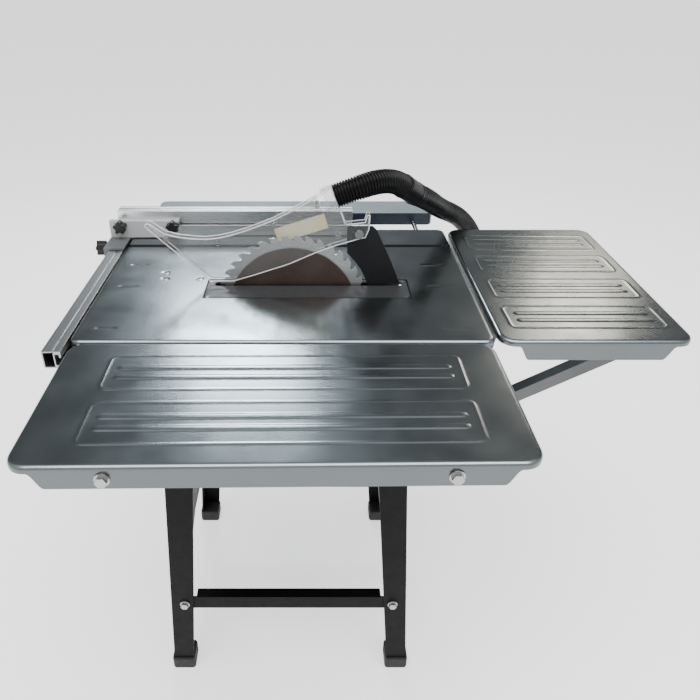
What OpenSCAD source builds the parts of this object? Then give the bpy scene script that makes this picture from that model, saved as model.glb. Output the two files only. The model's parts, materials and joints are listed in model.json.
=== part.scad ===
// Table saw with folding-out widening, rear extension, rip fence, tilting blade unit and stand.
// Lengths are in millimetres. Inside the modules, x runs along the blade from the operator to the
// rear, y runs across it, and z is measured from the table top. place() moves all of it so that the
// origin lies on the floor, under the middle of the saw.

/* [Main table] */
// Height of the table top above the floor
table_height = 750; // [745:1:755]
// Length of the main table, along the blade
table_length = 610; // [608:1:612]
// Distance from the blade to the table's right-hand edge
table_right = 190; // [189:1:191]
// Distance from the blade to the table's left-hand edge
table_left = 255; // [254:1:256]
// Depth of the folded rim of the main table
table_skirt = 30; // [28:1:30]
// Thickness of the table sheet
sheet = 2; // [1.5:0.5:2]
// Width of the mitre slot
mitre_width = 12; // [11:1:13]
// Depth of the mitre slot
mitre_depth = 9; // [8:1:9]

/* [Extensions] */
// Width of the right-hand widening
widening_width = 256; // [254:1:258]
// Length of the right-hand widening
widening_length = 598; // [596:1:600]
// Length of the rear extension
rear_length = 279; // [278:1:280]
// Gap between neighbouring tables
table_gap = 3; // [3:1:4]
// Depth of the skirt of an extension
skirt_depth = 31; // [30:1:32]

/* [Blade] */
// Diameter of the saw blade
blade_diameter = 254; // [250:1:254]
// Number of blade teeth
blade_teeth = 40; // [24:4:48]
// Thickness of the blade
blade_thickness = 2.4; // [2:0.2:2.6]
// Height of the blade above the table when it is fully raised
blade_height = 86; // [84:1:86]
// Position of the blade's centre along the table
blade_x = 10; // [8:1:12]

/* [Fence] */
// Length of the fence profile
fence_length = 450; // [440:5:460]
// Height of the fence profile
fence_height = 48; // [44:1:50]
// Distance from the blade to the fence
fence_y = 217; // [215:1:219]

/* [Side support] */
// Length of the side support bar
support_length = 588; // [580:2:590]
// Gap between the table and the side support bar
support_gap = 95; // [90:1:100]

/* [Hose] */
// Outer diameter of the dust hose
hose_diameter = 38; // [36:1:38]

/* [Hidden] */

$fn = 48;
eps = 0.01;

// Middle of the whole saw, on the floor
middle_x = 109;
middle_y = -6.5;

// Main table edges
front_x = -table_length / 2;
rear_x = table_length / 2;

// Table insert: plate, ledge that carries it and slot for the blade
insert_x0 = -130;
insert_x1 = 200;
insert_y0 = -51;
insert_y1 = 16;
insert_thickness = 3;
insert_gap = 0.5;
ledge_width = 8;
ledge_thickness = 3;
blade_slot_half = 7;
blade_slot_x0 = -119;

// Countersunk screws in the main table, which hold the front trunnion, and in the insert
table_screws = [[-208, 45], [-206, 20], [-147, 20]];
insert_screws = [[-126, -46.5], [-126, 11.5], [196, -46.5], [196, 11.5]];

// Mitre slot
mitre_y = 166;

// Extensions
corner_r = 25;
rim_depth = 9;
ogee_r = 11;
ogee_flat = 14;
groove_depth = 0.9;
widening_band_x = [-230, 240];
widening_band_y = [77, 182];
widening_band_half = 39;
rear_band_spacing = 99;
rear_band_half = 34;
widening_x = -1;
widening_y1 = -table_right - table_gap;
widening_y0 = widening_y1 - widening_width;
rear_x0 = rear_x + 6;
rear_x1 = rear_x0 + rear_length;

// Housing
wall = 3;
housing_half_x = 190;
housing_y0 = -192;
housing_y1 = 236;
housing_top = -table_skirt;
housing_bottom = -268;

// Stand
leg_sheet = 3;
leg_top = -150;
leg_bend = -268;
leg_head_outer = 197;
leg_foot_outer = 228;
leg_head_width = 46;
leg_foot_width = 38;
foot_size = 44;
foot_height = 30;
floor_z = -table_height;
leg_end = floor_z + foot_height;
leg_splay = atan((leg_foot_outer - leg_head_outer) / (leg_bend - leg_end));
leg_head_inner = leg_head_outer - leg_head_width;
leg_foot_inner = leg_foot_outer - leg_foot_width;
gusset_reach = 160;
gusset_drop = 140;
gusset_lean = (leg_foot_inner - leg_head_inner) / (leg_bend - leg_end);
leg_bolt_x = 175;
leg_bolt_z = [-170, -240];
lower_brace_z = -560;
brace_bolt_x = 192;

// Struts under the extensions
rear_strut_z = -225;
rear_strut_y = [-148, 170];
strut_width = 20;
right_strut_angle = 33.5;
rear_strut_angle = 29.6;
skirt_bolt_x = 195;
skirt_bolt_z = -17;

// Blade unit
blade_r = blade_diameter / 2;
arbor_z = blade_height - blade_r;
arbor_r = 8;
fit = 0.05;
gear_module = 1.5;
gear_teeth = 30;
pinion_teeth = 10;
gear_distance = gear_module * (gear_teeth + pinion_teeth) / 2;
motor_z = arbor_z - gear_distance;
motor_r = 40;
motor_y0 = 35;
motor_y1 = 140;
case_y0 = 8;
case_y1 = 29;
guide_x = [blade_x - 70, blade_x + 70];
guide_y = 51;
guide_r = 6;
screw_x = -95;
crank_z = -200;
lock_z = -120;
trunnion_r = 95;
trunnion_pins = [12, -12];
pin_r = 5;
tilt_range = 45;
carriage_x0 = -138;
carriage_x1 = 156;
carriage_sheet = 6;
front_trunnion_x = -146;
rear_trunnion_x = 164;

// Guard
guard_half = 7.5;
guard_sheet = 2;
guard_pivot = [117, 91];
guard_pivot_r = 4;
port_centre = [79, 150];
port_angle = atan2(7, 18);
collar_length = 20;
guard_posts = [[-190, 81], [-108, 74], [-18, 105], [50, 136], [84, 86]];
guard_outline = [
    [-125, 8.5], [-221, 102], [-220, 106], [-215, 107], [-192, 90], [-173, 85], [-150, 82],
    [-128, 81], [-108, 83], [-86, 88], [-64, 95], [-40, 104], [-18, 113], [22, 134], [60, 156],
    [71, 165], [94, 108], [97, 106], [126, 109], [129, 121], [133, 121], [132, 98], [127, 84],
    [120, 83], [78, 70], [47, 58], [3, 38], [-50, 20], [-87, 8.5]
];

// Rail and fence
rail_x0 = -335;
rail_x1 = -308;
rail_top = -2;
rail_bottom = -29;
fence_x1 = 121;
fence_z0 = 2;
fence_depth = 28;
carriage_y0 = 150;
carriage_y1 = 246;
carriage_top = 1.7;
knob_x = [-322, -222];
knob_z = 25;
stud_r = 2.4;
clamp_y = 186;
clamp_z = -12;

// Side support
rod_r = 5;
rod_z = -18;
rod_x = [-242, 258];
support_y0 = table_left + support_gap;
support_depth = 78;
support_height = 27;

// Switch and dust port
switch_y0 = -180;
switch_y1 = -118;
button_z = [-64, -96];
dust_y = 10;
dust_z = -205;
dust_x1 = 300;
dust_socket = 32;
branch_x = 215;
branch_length = 84.85;

// Middle of the hose from the guard to the dust port, and where its three pieces meet
hose_route = [
    [79, 0, 150], [97, 0, 157], [116, 2, 163], [136, 9, 167], [155, 19, 167],
    [172, 32, 162], [186, 46, 153], [201, 64, 140], [215, 83, 127], [234, 113, 111],
    [253, 146, 93], [272, 182, 73], [293, 219, 53], [317, 253, 34], [341, 284, 13],
    [366, 309, -15], [387, 322, -50], [398, 322, -92], [398, 308, -133], [390, 284, -168],
    [376, 250, -192], [356, 208, -204], [338, 164, -207], [319, 122, -205], [298, 93, -205],
    [275, 70, -205]
];
cuff_start = 6;
cuff_end = 8;
hose_joint_gap = 0.1;

// ---- shared shapes ----

// Moves everything from the table's own place to the floor under the middle of the saw
module place() {
    translate([-middle_x, -middle_y, table_height]) children();
}

// Box from its lowest to its highest corner
module block(low, high) {
    translate(low) cube(high - low);
}

// Flat outline of a rectangle with round corners
module round_rect(x0, x1, y0, y1, r) {
    translate([x0 + r, y0]) square([x1 - x0 - 2 * r, y1 - y0]);
    translate([x0, y0 + r]) square([x1 - x0, y1 - y0 - 2 * r]);
    for (x = [x0 + r, x1 - r], y = [y0 + r, y1 - r])
        translate([x, y]) circle(r);
}

// Plate with round corners between two heights
module plate(x0, x1, y0, y1, r, z0, z1) {
    translate([0, 0, z0]) linear_extrude(z1 - z0) round_rect(x0, x1, y0, y1, r);
}

// Flat outline in the x-z plane, from y0 to y1
module slab_y(y0, y1) {
    translate([0, y1, 0]) rotate([90, 0, 0]) linear_extrude(y1 - y0) children();
}

// Flat outline in the y-z plane, from x0 to x1
module slab_x(x0, x1) {
    translate([x0, 0, 0]) rotate([90, 0, 90]) linear_extrude(x1 - x0) children();
}

// Round bar along y
module bar_y(x, z, y0, y1, r) {
    translate([x, y0, z]) rotate([-90, 0, 0]) cylinder(r = r, h = y1 - y0);
}

// Round bar along x
module bar_x(y, z, x0, x1, r) {
    translate([x0, y, z]) rotate([0, 90, 0]) cylinder(r = r, h = x1 - x0);
}

// Hexagon along y
module hex_y(x, z, y0, y1, r) {
    translate([x, y0, z]) rotate([-90, 0, 0]) cylinder(r = r, h = y1 - y0, $fn = 6);
}

// Part of the flat outline that a ring sector covers, with round ends; angles are from straight down
module arc_slot(radius, half_width, from, to) {
    intersection() {
        difference() {
            circle(radius + half_width, $fn = 96);
            circle(radius - half_width, $fn = 96);
        }
        polygon([
            [0, 0],
            for (k = [0:8]) let (a = from + (to - from) * k / 8) 300 * [sin(a), -cos(a)]
        ]);
    }
    for (a = [from, to])
        translate(radius * [sin(a), -cos(a)]) circle(half_width - 0.05);
}

// Countersunk hole or screw head and shank, from the surface downwards
module countersunk(x, y, z, head_r, shank_r, head, depth) {
    translate([x, y, z - head]) cylinder(r1 = shank_r, r2 = head_r, h = head);
    translate([x, y, z - depth]) cylinder(r = shank_r, h = depth - head + eps);
}

// Hexagon bolt along +y: washer, head outside, shank and nut
module bolt_y(x, z, y, grip_length) {
    union() {
        bar_y(x, z, y - 2, y, 9);
        hex_y(x, z, y - 7.5, y - 2, 7.2);
        bar_y(x, z, y - 1, y + grip_length + 1, 4);
        hex_y(x, z, y + grip_length, y + grip_length + 6, 7.2);
    }
}

// Star knob along +x from its back face, with a stud
module star_knob(length, r, stud_r, stud_length) {
    lobes = 5;
    rotate([0, 90, 0]) {
        difference() {
            cylinder(r = r, h = length);
            for (k = [0:lobes - 1])
                rotate([0, 0, k * 360 / lobes])
                    translate([r * 1.12, 0, -1]) cylinder(r = r * 0.42, h = length + 2);
        }
        cylinder(r = stud_r, h = length + stud_length);
    }
}

// ---- sheet-metal tables ----

// Area that is cut away at one end of a skirt, below the rim: a flat, then an S-shaped step
module ogee_cut(depth) {
    low = -depth - 1;
    translate([-1, low]) square([ogee_flat + 1, depth + 1 - rim_depth]);
    translate([ogee_flat, -rim_depth - ogee_r]) circle(ogee_r);
    translate([ogee_flat, low]) square([ogee_r, depth + 1 - rim_depth - ogee_r]);
    difference() {
        translate([ogee_flat + ogee_r - eps, low])
            square([ogee_r + eps, depth + 1 - rim_depth - ogee_r]);
        translate([ogee_flat + 2 * ogee_r, -rim_depth - ogee_r]) circle(ogee_r);
        translate([ogee_flat + ogee_r + 1, -rim_depth - ogee_r])
            square([ogee_r, ogee_r]);
    }
}

// Pressed table with a rolled rim, skirts that stop short of the corners, and pressed bands
module pressed_table(x0, x1, y0, y1, bands) {
    reach = corner_r + 1;
    difference() {
        plate(x0, x1, y0, y1, corner_r, -skirt_depth, 0);
        plate(x0 + sheet, x1 - sheet, y0 + sheet, y1 - sheet, corner_r - sheet,
            -skirt_depth - 1, -sheet);
        for (y = [y0 - 1, y1 - reach]) {
            translate([x0, 0, 0]) slab_y(y, y + reach + 1) ogee_cut(skirt_depth);
            translate([x1, 0, 0]) mirror([1, 0, 0]) slab_y(y, y + reach + 1) ogee_cut(skirt_depth);
        }
        for (x = [x0 - 1, x1 - reach]) {
            translate([0, y0, 0]) slab_x(x, x + reach + 1) ogee_cut(skirt_depth);
            translate([0, y1, 0]) mirror([0, 1, 0]) slab_x(x, x + reach + 1) ogee_cut(skirt_depth);
        }
        for (b = bands) pressed_band(b[0], b[1], b[2], b[3]);
    }
}

// Outline and two long grooves of one pressed band
module pressed_band(x0, x1, y0, y1) {
    line = 2.5;
    groove = 4;
    inset = 14;
    middle = (y0 + y1) / 2;
    difference() {
        plate(x0, x1, y0, y1, 10, -groove_depth, 1);
        plate(x0 + line, x1 - line, y0 + line, y1 - line, 7.5, -groove_depth - 1, 2);
    }
    for (y = [middle - 11, middle + 11])
        plate(x0 + inset, x1 - inset, y - groove / 2, y + groove / 2, 1.9, -groove_depth, 1);
}

module main_table() color("silver") place() {
    short_marks = [[-276, 30], [235, 41]];
    mark_y = [78, -8, -151];
    difference() {
        union() {
            difference() {
                plate(front_x, rear_x, -table_right, table_left, 12, -table_skirt, 0);
                plate(front_x + sheet, rear_x - sheet, -table_right + sheet,
                    table_left - sheet, 10, -table_skirt - 1, -sheet);
            }
            plate(insert_x0 - 7, insert_x1 + 7, insert_y0 - 7, insert_y1 + 7, 12,
                -insert_thickness - ledge_thickness, -1);
            block([front_x + 1, mitre_y - mitre_width / 2 - sheet, -mitre_depth - sheet],
                [rear_x - 1, mitre_y + mitre_width / 2 + sheet, -1]);
        }
        plate(insert_x0 - insert_gap, insert_x1 + insert_gap, insert_y0 - insert_gap,
            insert_y1 + insert_gap, 6, -insert_thickness, 1);
        plate(insert_x0 + ledge_width, insert_x1 - ledge_width, insert_y0 + ledge_width,
            insert_y1 - ledge_width, 6, -20, 1);
        block([front_x - 1, mitre_y - mitre_width / 2, -mitre_depth],
            [rear_x + 1, mitre_y + mitre_width / 2, 1]);
        for (m = short_marks, y = mark_y)
            plate(m[0], m[0] + m[1], y - 2, y + 2, 1.9, -groove_depth, 1);
        for (s = table_screws) countersunk(s[0], s[1], 0.02, 5.1, 2.6, 2.5, 8);
        for (x = rod_x) bar_y(x, rod_z, table_left - 5, table_left + 5, rod_r + 1);
    }
}

module table_insert() color("dimgray") place()
    difference() {
        plate(insert_x0, insert_x1, insert_y0, insert_y1, 5.5, -insert_thickness, 0);
        plate(blade_slot_x0, insert_x1 - ledge_width, -blade_slot_half, blade_slot_half, 6.9,
            -insert_thickness - 1, 1);
        for (s = insert_screws) countersunk(s[0], s[1], 0.02, 3.6, 1.8, 1.8, 5);
    }

module countersunk_screws() color("gainsboro") place() {
    for (s = table_screws) countersunk(s[0], s[1], 0, 5, 2.5, 2.5, 7.9);
    for (s = insert_screws) countersunk(s[0], s[1], 0, 3.5, 1.75, 1.8, insert_thickness);
}

module right_extension() color("silver") place()
    difference() {
        pressed_table(widening_x - widening_length / 2, widening_x + widening_length / 2,
            widening_y0, widening_y1,
            [for (y = widening_band_y)
                [widening_band_x[0], widening_band_x[1],
                    widening_y0 + y - widening_band_half, widening_y0 + y + widening_band_half]]);
        for (s = [-1, 1])
            bar_y(skirt_bolt_x * s, skirt_bolt_z, widening_y0 - 1, widening_y0 + 3, 4.2);
    }

module rear_extension() color("silver") place()
    pressed_table(rear_x0, rear_x1, -table_right, table_left,
        [for (k = [-1.5:1:1.5])
            let (y = (table_left - table_right) / 2 + k * rear_band_spacing)
            [rear_x0 + 26, rear_x1 - 22, y - rear_band_half, y + rear_band_half]]);

// ---- housing and stand ----

module housing() color("#26292c") place()
    difference() {
        block([-housing_half_x, housing_y0, housing_bottom],
            [housing_half_x, housing_y1, housing_top]);
        block([-housing_half_x + wall, housing_y0 + wall, housing_bottom + wall],
            [housing_half_x - wall, housing_y1 - wall, housing_top + 1]);
        slab_x(-housing_half_x - 1, -housing_half_x + wall + 1) {
            arc_slot(norm([guide_y, crank_z]), 8, atan2(guide_y, -crank_z),
                atan2(guide_y, -crank_z) - tilt_range);
            arc_slot(-lock_z, 7, 0, -tilt_range);
        }
        bar_x(dust_y, dust_z, housing_half_x - wall - 1, housing_half_x + 1, 27);
        for (y = [housing_y0 - 1, housing_y1 - wall - 1], x = leg_bolt_x * [-1, 1], z = leg_bolt_z)
            bar_y(x, z, y, y + wall + 2, 4.2);
        for (y = rear_strut_y)
            bar_x(y + 10, rear_strut_z, housing_half_x - wall - 1, housing_half_x + 1, 4.2);
    }

// Outer edge of a leg, from its head to its foot
flange_line = [[leg_head_outer, leg_top], [leg_head_outer, leg_bend], [leg_foot_outer, leg_end]];

// Leg of one corner: a broad face across the saw and a flange along it, both splayed outwards
module leg(sx, sy) color("#18191b") place() mirror([sx < 0 ? 1 : 0, 0, 0]) {
    y = sy < 0 ? housing_y0 : housing_y1;
    difference() {
        union() {
            slab_y(min(y, y + sy * leg_sheet), max(y, y + sy * leg_sheet))
                polygon([
                    [leg_head_outer, leg_top], [leg_head_inner, leg_top],
                    [leg_head_inner, leg_bend], [leg_foot_inner, leg_end],
                    [leg_foot_outer, leg_end], [leg_head_outer, leg_bend]
                ]);
            translate([0, y, 0]) mirror([0, sy < 0 ? 0 : 1, 0])
                intersection() {
                    slab_y(-1, leg_head_width)
                        polygon([
                            for (inset = [0, leg_sheet], k = [0:2])
                                flange_line[inset == 0 ? k : 2 - k] - [inset, 0]
                        ]);
                    slab_x(leg_head_outer - leg_sheet - 1, leg_foot_outer + 1)
                        polygon([
                            [-2, leg_top + 1], [leg_head_width - leg_sheet, leg_top + 1],
                            [leg_head_width - leg_sheet, leg_bend],
                            [leg_foot_width - leg_sheet, leg_end - 1], [-2, leg_end - 1]
                        ]);
                }
        }
        for (z = leg_bolt_z) bar_y(leg_bolt_x, z, y - 5, y + 5, 4.2);
        bar_y(brace_bolt_x, lower_brace_z, y - 5, y + 5, 4.2);
    }
}

module front_right_leg() leg(-1, -1);
module rear_right_leg() leg(1, -1);
module front_left_leg() leg(-1, 1);
module rear_left_leg() leg(1, 1);

module rubber_feet() color("#101112") place()
    for (sx = [-1, 1], sy = [-1, 1])
        let (x = sx * (leg_foot_outer - foot_size / 2 + 4),
            y = sy < 0 ? housing_y0 + foot_size / 2 - 7 : housing_y1 - foot_size / 2 + 7)
        translate([x, y, floor_z])
            linear_extrude(foot_height)
                round_rect(-foot_size / 2, foot_size / 2, -foot_size / 2, foot_size / 2, 6);

// Angle section rails between the legs, around the bottom edge of the housing
module upper_braces() color("#18191b") place() {
    reach = leg_head_inner - 2;
    low = housing_bottom - leg_sheet;
    for (sy = [-1, 1]) let (y = sy < 0 ? housing_y0 : housing_y1)
        translate([0, y, 0]) mirror([0, sy < 0 ? 0 : 1, 0]) {
            block([-reach, -leg_sheet, low], [reach, 0, low + 30]);
            block([-reach, -leg_sheet, low], [reach, 24, low + leg_sheet]);
        }
}

module lower_braces() color("#18191b") place() {
    half = 15;
    for (sy = [-1, 1]) let (y = sy < 0 ? housing_y0 : housing_y1)
        translate([0, y, 0]) mirror([0, sy < 0 ? 0 : 1, 0])
            difference() {
                union() {
                    block([-203, 0, lower_brace_z - half], [203, leg_sheet, lower_brace_z + half]);
                    block([-170, 0, lower_brace_z + half - leg_sheet],
                        [170, 20, lower_brace_z + half]);
                }
                for (x = brace_bolt_x * [-1, 1])
                    bar_y(x, lower_brace_z, -1, 5, 4.2);
            }
    for (sx = [0, 1]) mirror([sx, 0, 0])
        translate([leg_head_outer, 0, leg_bend]) rotate([0, -leg_splay, 0])
            block([-2 * leg_sheet, housing_y0 + 8, lower_brace_z - leg_bend - half],
                [-leg_sheet, housing_y1 - 8, lower_brace_z - leg_bend + half]);
}

// Triangular plates that stiffen each leg against the housing's floor, along the leg's inner edge
module leg_gussets() color("#3c3f42") place() {
    high = housing_bottom + 1;
    low = housing_bottom - gusset_drop - 1;
    high_x = leg_head_inner + 3 - gusset_lean;
    low_x = leg_head_inner + 3 + gusset_lean * (gusset_drop + 1);
    for (sx = [0, 1], sy = [-1, 1]) let (y = sy < 0 ? housing_y0 : housing_y1)
        mirror([sx, 0, 0]) translate([0, y, 0]) mirror([0, sy < 0 ? 0 : 1, 0])
            intersection() {
                slab_x(leg_head_inner, leg_head_outer)
                    polygon([
                        [0, housing_bottom], [gusset_reach, housing_bottom],
                        [0, housing_bottom - gusset_drop]
                    ]);
                slab_y(-1, gusset_reach + 1)
                    polygon([
                        [high_x, high], [high_x + 3, high], [low_x + 3, low], [low_x, low]
                    ]);
            }
}

// Sloping angle section of one strut along +x, from its lower end
module strut_bar(length) {
    block([0, 0, -2], [length, strut_width, 0]);
    block([0, 0, -strut_width], [length, 2, 0]);
}

module right_struts() color("#8d9296") place() {
    tab = 3;
    for (s = [0, 1]) mirror([s, 0, 0])
        difference() {
            union() {
                block([185, widening_y0 + sheet, -30], [205, widening_y0 + sheet + tab, -8]);
                block([160, housing_y0 - 2 * tab, -190],
                    [205, housing_y0 - tab, -152]);
                translate([185, housing_y0 - 2 * tab - 4, -165])
                    rotate([0, 0, -90]) rotate([0, -right_strut_angle, 0])
                        strut_bar(262);
                block([185, housing_y0 - 2 * tab - 9, -180], [187, housing_y0 - tab, -160]);
                block([184.5, widening_y0 + sheet, -30], [187.5, widening_y0 + 24, -12]);
            }
            bar_y(skirt_bolt_x, skirt_bolt_z, widening_y0, widening_y0 + 8, 4.2);
            bar_y(leg_bolt_x, leg_bolt_z[0], housing_y0 - 9, housing_y0, 4.2);
        }
}

module rear_struts() color("#8d9296") place()
    for (y = rear_strut_y)
        difference() {
            union() {
                block([housing_half_x, y - 1, rear_strut_z - 22],
                    [housing_half_x + 3, y + strut_width + 1, rear_strut_z + 18]);
                block([rear_x1 - 56, y - 1, -sheet - 3],
                    [rear_x1 - 16, y + strut_width + 1, -sheet]);
                translate([housing_half_x + 2, y, rear_strut_z + 14]) rotate([0, -rear_strut_angle, 0])
                    strut_bar(405);
                block([rear_x1 - 50, y, -18], [rear_x1 - 40, y + 2, -sheet]);
            }
            bar_x(y + 10, rear_strut_z, housing_half_x - 1, housing_half_x + 4, 4.2);
        }

module hex_bolts() color("lightgray") place() {
    for (s = [-1, 1]) {
        bolt_y(skirt_bolt_x * s, skirt_bolt_z, widening_y0, sheet + 3);
        bolt_y(leg_bolt_x * s, leg_bolt_z[0], housing_y0 - 2 * leg_sheet, wall + 2 * leg_sheet);
        bolt_y(leg_bolt_x * s, leg_bolt_z[1], housing_y0 - leg_sheet, wall + leg_sheet);
        bolt_y(brace_bolt_x * s, lower_brace_z, housing_y0 - leg_sheet, 2 * leg_sheet);
        translate([0, 2 * housing_y1, 0]) mirror([0, 1, 0]) {
            for (z = leg_bolt_z)
                bolt_y(leg_bolt_x * s, z, housing_y1 - leg_sheet, wall + leg_sheet);
            bolt_y(brace_bolt_x * s, lower_brace_z, housing_y1 - leg_sheet, 2 * leg_sheet);
        }
    }
    for (y = rear_strut_y)
        translate([housing_half_x + 3, y + 10, rear_strut_z]) rotate([0, 0, 90])
            bolt_y(0, 0, 0, wall + 3);
}

module switch_box() color("#d8b400") place()
    difference() {
        block([-housing_half_x - 36, switch_y0, -115], [-housing_half_x, switch_y1, -45]);
        for (z = button_z)
            bar_x((switch_y0 + switch_y1) / 2, z, -housing_half_x - 37, -housing_half_x - 20, 12.3);
    }

// One push button of the switch box
module push_button(z)
    bar_x((switch_y0 + switch_y1) / 2, z, -housing_half_x - 42, -housing_half_x - 26, 12);

module start_button() color("green") place() push_button(button_z[0]);
module stop_button() color("red") place() push_button(button_z[1]);

module power_inlet() color("#101112") place()
    difference() {
        block([housing_half_x, -96, -150], [housing_half_x + 20, -60, -122]);
        block([housing_half_x + 4, -91, -145], [housing_half_x + 21, -65, -127]);
    }

module dust_port() color("#101112") place()
    difference() {
        union() {
            bar_x(dust_y, dust_z, housing_half_x, housing_half_x + 4, 40);
            bar_x(dust_y, dust_z, housing_half_x, dust_x1, 31);
            translate([branch_x, dust_y, dust_z]) rotate([0, 90, 45])
                cylinder(r = hose_diameter / 2, h = branch_length);
        }
        bar_x(dust_y, dust_z, housing_half_x - 1, dust_x1 - dust_socket + 1, 26);
        bar_x(dust_y, dust_z, dust_x1 - dust_socket, dust_x1 + 1, 28);
        translate([branch_x, dust_y, dust_z]) rotate([0, 90, 45])
            cylinder(r = hose_diameter / 2 - 2.5, h = branch_length + 1);
    }

// ---- tilting blade unit ----

// Two plates under the table with a curved slot, on which the blade unit tilts
module trunnions() color("#6f7478") place() {
    difference() {
        union() {
            slab_x(front_trunnion_x, front_trunnion_x + carriage_sheet) trunnion_outline();
            block([-215, 10, -8], [front_trunnion_x + carriage_sheet, 52, -sheet]);
        }
        for (s = table_screws) translate([s[0], s[1], -9]) cylinder(r = 3.2, h = 10);
    }
    slab_x(rear_trunnion_x, rear_trunnion_x + carriage_sheet) trunnion_outline();
    block([rear_trunnion_x, 26, -8 - eps], [215, 52, -sheet]);
}

module trunnion_outline()
    difference() {
        intersection() {
            circle(108, $fn = 96);
            translate([-112, -108]) square([164, 100]);
        }
        arc_slot(trunnion_r, pin_r + 0.3, trunnion_pins[0], trunnion_pins[1] - tilt_range);
    }

// Frame that tilts: two end plates with pins, two cross bars and the clamp of the riving knife
module tilt_carriage() color("#54585c") place() {
    end_plate = [
        [-14, -26], [-14, -60], [-28, -75], [-28, -110], [-14, -125], [-14, -240], [62, -240],
        [62, -12], [30, -12], [14, -26]
    ];
    difference() {
        union() {
            for (x = [carriage_x0, carriage_x1])
                slab_x(x, x + carriage_sheet) polygon(end_plate);
            for (a = trunnion_pins) {
                y = trunnion_r * sin(a);
                z = -trunnion_r * cos(a);
                bar_x(y, z, front_trunnion_x - 1, carriage_x0 + 1, pin_r);
                bar_x(y, z, carriage_x1 + 1, rear_trunnion_x + carriage_sheet + 1, pin_r);
            }
            block([carriage_x0 + 1, guide_y - 6, -26], [carriage_x1 + 1, guide_y + 6, -12]);
            block([carriage_x0 + 1, guide_y - 6, -235], [carriage_x1 + 1, guide_y + 6, -225]);
            block([141, blade_thickness / 2, -90], [carriage_x1 + 1, 20, -60]);
        }
        bar_x(guide_y, crank_z, carriage_x0 - 1, carriage_x0 + carriage_sheet + 1, 5 + fit);
        bar_x(0, lock_z, carriage_x0 - 1, carriage_x0 + carriage_sheet + 1, 5 + fit);
        translate([screw_x, guide_y, -236]) cylinder(r = 4 + fit, h = 230);
    }
}

module riving_knife() color("#1d1f22") place()
    slab_y(-blade_thickness / 2, blade_thickness / 2)
        difference() {
            polygon([
                [98, 98], [101, 101], [139, 101], [146, 94], [170, 44], [187, 4], [188, -6],
                [157, -6], [155, -22], [155, -90], [141, -90], [141, -41], [100, 30]
            ]);
            translate([blade_x, arbor_z]) circle(blade_r + 4, $fn = 128);
            translate(guard_pivot) circle(guard_pivot_r);
        }

module guide_rods() color("gainsboro") place()
    for (x = guide_x) translate([x, guide_y, -225]) cylinder(r = guide_r, h = 199);

// Sheet that keeps the chips on the right-hand side of the blade
module blade_shroud() color("#33373a") place() {
    x1 = carriage_x1;
    x0 = carriage_x0 + carriage_sheet;
    block([x0, -28, -150], [x1, -26, -50]);
    block([x0, -27, -150], [x0 + 3, -2, -50]);
    block([x1 - 3, -27, -150], [x1, -4, -50]);
}

module guard_bolt() color("gainsboro") place()
    union() {
        bar_y(guard_pivot[0], guard_pivot[1], -12, 12, guard_pivot_r - fit);
        bar_y(guard_pivot[0], guard_pivot[1], -12, -8, 7);
        hex_y(guard_pivot[0], guard_pivot[1], 8, 12, 7);
    }

// ---- height adjustment ----

// Spindle that lifts the blade, with its bevel gear
module lift_screw() color("gainsboro") place() translate([screw_x, guide_y, 0]) {
    translate([0, 0, -234]) cylinder(r = 4, h = 221);
    translate([0, 0, -222]) cylinder(r = 6, h = 194);
    translate([0, 0, crank_z + 10]) cylinder(r1 = 9.6, r2 = 15.6, h = 6);
}

// Bracket that slides on the two guide rods and carries the motor and the gear case
module lift_bracket() color("#6f7478") place() {
    low = motor_z - 24;
    high = motor_z + 21;
    nut_low = -85;
    nut_high = -60;
    difference() {
        union() {
            block([guide_x[0] - 11, case_y1, low], [guide_x[1] + 11, motor_y0, high]);
            block([screw_x - 8, case_y1, nut_low], [guide_x[0], motor_y0, nut_high]);
            for (x = guide_x) {
                block([x - 6, motor_y0 - 1, low], [x + 6, guide_y, high]);
                translate([x, guide_y, low]) cylinder(r = 11, h = high - low);
            }
            block([screw_x - 6, motor_y0 - 1, nut_low], [screw_x + 6, guide_y, nut_high]);
            translate([screw_x, guide_y, nut_low]) cylinder(r = 11, h = nut_high - nut_low);
        }
        for (x = guide_x)
            translate([x, guide_y, low - 1]) cylinder(r = guide_r + 0.06, h = high - low + 2);
        translate([screw_x, guide_y, nut_low - 1]) cylinder(r = 6.08, h = nut_high - nut_low + 2);
        bar_y(blade_x, motor_z, case_y1 - 1, motor_y0 + 1, 6);
    }
}

// Outline of a spur gear around the origin; one tooth points at the angle first
module gear_outline(teeth, first) {
    pitch_r = gear_module * teeth / 2;
    step = 360 / teeth;
    profile = [[-0.23, -1.8], [-0.1, 1.2], [0.1, 1.2], [0.23, -1.8]];
    polygon([
        for (k = [0:teeth - 1], p = profile)
            let (a = first + (k + p[0]) * step, r = pitch_r + p[1])
            r * [cos(a), sin(a)]
    ]);
}

module gear_case() color("#7c8186") place()
    difference() {
        slab_y(case_y0, case_y1) {
            translate([blade_x, arbor_z]) circle(30);
            translate([blade_x, motor_z]) circle(24);
            translate([blade_x - 24, motor_z]) square([48, gear_distance]);
        }
        slab_y(case_y0 + 3, case_y1 - 4) {
            translate([blade_x, arbor_z]) circle(26);
            translate([blade_x, motor_z]) circle(12);
        }
        bar_y(blade_x, arbor_z, case_y0 - 1, case_y1 + 1, arbor_r + fit);
        bar_y(blade_x, motor_z, case_y1 - 5, case_y1 + 1, 5 + fit);
    }

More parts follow.
